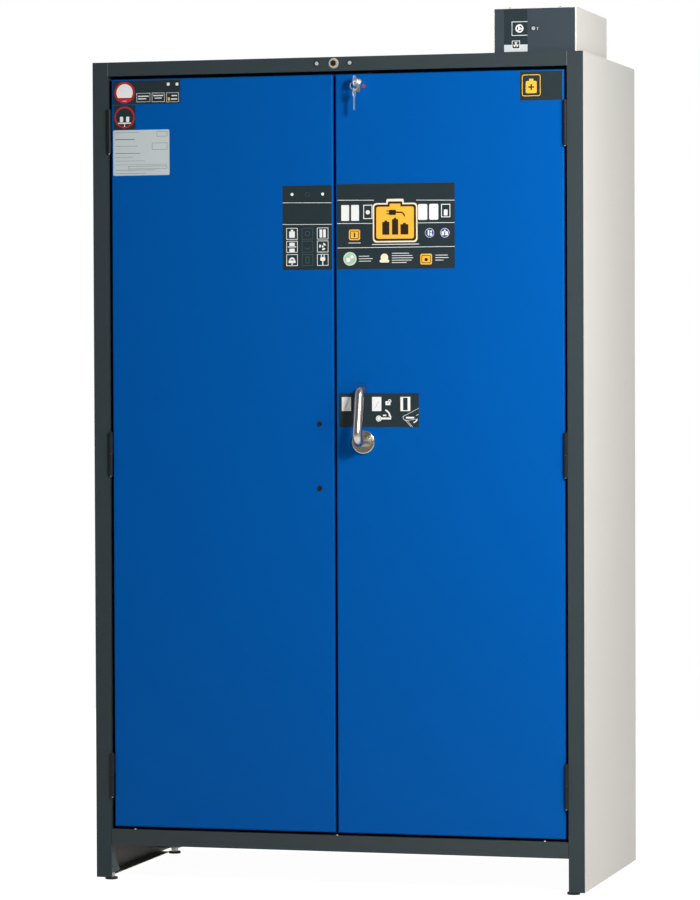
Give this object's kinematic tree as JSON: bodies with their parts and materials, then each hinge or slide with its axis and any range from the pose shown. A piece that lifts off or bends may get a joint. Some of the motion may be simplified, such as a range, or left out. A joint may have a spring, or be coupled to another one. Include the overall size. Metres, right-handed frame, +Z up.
{
  "type": "battery cabinet",
  "caption": "Fire-rated steel cabinet with two inset wing doors, insulated walls, shelves, charging sockets and a roof fan, for storing and charging batteries.",
  "frame": {"origin": "on the floor under the middle of the whole footprint, lever handle included", "axes": "+Z up, +X to the right seen from the front, doors face -Y"},
  "size_m": [1.193, 0.683, 2.056],
  "materials": {
    "anthracite_paint": "satin",
    "light_grey_paint": "satin",
    "blue_paint": "satin",
    "white_board": "matte",
    "brushed_stainless": "satin",
    "black_steel": "satin",
    "zinc_steel": "satin",
    "nickel_plate": "gloss",
    "brass_core": "satin",
    "black_plastic": "matte",
    "lamp_lens": "gloss",
    "seal_strip": "matte"
  },
  "bodies": {
    "cabinet": {"side_panel_left": "light_grey_paint", "side_panel_right": "light_grey_paint", "rear_panel": "light_grey_paint", "roof_panel": "light_grey_paint", "base_panel": "anthracite_paint", "frame_jamb_left": "anthracite_paint", "frame_jamb_right": "anthracite_paint", "frame_header": "anthracite_paint", "frame_bottom_rail": "anthracite_paint", "wall_board_left": "white_board", "wall_board_right": "white_board", "wall_board_rear": "white_board", "wall_board_top": "white_board", "wall_board_base": "white_board", "frame_seal": "seal_strip", "shelf_uprights_left": "light_grey_paint", "shelf_uprights_right": "light_grey_paint", "shelf_1": "light_grey_paint", "shelf_2": "light_grey_paint", "shelf_3": "light_grey_paint", "sump_tray": "light_grey_paint", "socket_strip": "black_plastic", "key_switch_body": "nickel_plate", "indicator_lamps": "lamp_lens", "frame_hinges_left": "black_steel", "frame_hinges_right": "black_steel", "hinge_pins_left": "zinc_steel", "hinge_pins_right": "zinc_steel", "foot_gusset_left": "anthracite_paint", "foot_gusset_right": "anthracite_paint", "rear_foot_brackets": "zinc_steel", "fan_housing": "light_grey_paint", "fan_front_cover": "anthracite_paint", "fan_status_lamp": "lamp_lens", "exhaust_collar": "zinc_steel", "fan_motor": "zinc_steel", "fan_outlet_spigot": "zinc_steel", "mains_gland": "brass_core"},
    "left_door": {"door_skin_left": "blue_paint", "door_board_left": "white_board", "door_plugs": "black_plastic", "door_hinges_left": "black_steel"},
    "right_door": {"door_skin_right": "blue_paint", "door_board_right": "white_board", "door_hinges_right": "black_steel", "lever_rose": "brushed_stainless", "lock_case": "zinc_steel", "lock_cylinder": "nickel_plate"},
    "lever": {"lever_handle": "brushed_stainless"},
    "upper_bolt": {"bolt_rod_upper": "zinc_steel"},
    "lower_bolt": {"bolt_rod_lower": "zinc_steel"},
    "turning_key": {"lock_key": "nickel_plate"},
    "ring": {"key_ring": "nickel_plate"},
    "hanging_key": {"spare_key": "nickel_plate"},
    "switch_core": {"key_switch_core": "brass_core"},
    "fan_wheel": {"fan_impeller": "black_plastic"},
    "foot_front_left": {"levelling_foot_front_left": "black_plastic"},
    "foot_front_right": {"levelling_foot_front_right": "black_plastic"},
    "foot_rear_left": {"levelling_foot_rear_left": "black_plastic"},
    "foot_rear_right": {"levelling_foot_rear_right": "black_plastic"}
  },
  "joints": [
    {"name": "left_door_hinge", "type": "hinge", "parent": "cabinet", "child": "left_door", "pos_m": [-0.5545, -0.2765, 1.0205], "axis": [0, 0, -1], "range_deg": [0, 110]},
    {"name": "right_door_hinge", "type": "hinge", "parent": "cabinet", "child": "right_door", "pos_m": [0.5545, -0.2765, 1.0205], "axis": [0, 0, 1], "range_deg": [0, 110]},
    {"name": "lever_turn", "type": "hinge", "parent": "right_door", "child": "lever", "pos_m": [0.07, -0.2705, 1.05], "axis": [0, 1, 0], "range_deg": [0, 90]},
    {"name": "upper_bolt_slide", "type": "slide", "parent": "right_door", "child": "upper_bolt", "axis": [0, 0, -1], "range_m": [0, 0.0118]},
    {"name": "lower_bolt_slide", "type": "slide", "parent": "right_door", "child": "lower_bolt", "axis": [0, 0, 1], "range_m": [0, 0.0118]},
    {"name": "key_turn", "type": "hinge", "parent": "right_door", "child": "turning_key", "pos_m": [0.059, -0.2745, 1.8935], "axis": [0, 1, 0], "range_deg": [-90, 90]},
    {"name": "ring_swing", "type": "hinge", "parent": "turning_key", "child": "ring", "pos_m": [0.059, -0.306, 1.8917], "axis": [1, 0, 0], "range_deg": [-60, 10]},
    {"name": "spare_key_swing", "type": "hinge", "parent": "ring", "child": "hanging_key", "pos_m": [0.059, -0.306, 1.8727], "axis": [1, 0, 0], "range_deg": [-60, 10]},
    {"name": "key_switch_turn", "type": "hinge", "parent": "cabinet", "child": "switch_core", "pos_m": [0, -0.2735, 1.938], "axis": [0, 1, 0], "range_deg": [0, 90]},
    {"name": "fan_spin", "type": "hinge", "parent": "cabinet", "child": "fan_wheel", "pos_m": [0.482, -0.0905, 1.983], "axis": [0, 0, 1], "continuous": true},
    {"name": "foot_front_left_turn", "type": "hinge", "parent": "cabinet", "child": "foot_front_left", "pos_m": [-0.566, -0.254, 0], "axis": [0, 0, 1], "continuous": true},
    {"name": "foot_front_right_turn", "type": "hinge", "parent": "cabinet", "child": "foot_front_right", "pos_m": [0.566, -0.254, 0], "axis": [0, 0, 1], "continuous": true},
    {"name": "foot_rear_left_turn", "type": "hinge", "parent": "cabinet", "child": "foot_rear_left", "pos_m": [-0.566, 0.239, 0], "axis": [0, 0, 1], "continuous": true},
    {"name": "foot_rear_right_turn", "type": "hinge", "parent": "cabinet", "child": "foot_rear_right", "pos_m": [0.566, 0.239, 0], "axis": [0, 0, 1], "continuous": true}
  ],
  "couplings": [
    {"joint": "upper_bolt_slide", "follows": "lever_turn", "m_per_rad": 0.0075},
    {"joint": "lower_bolt_slide", "follows": "lever_turn", "m_per_rad": 0.0075}
  ]
}
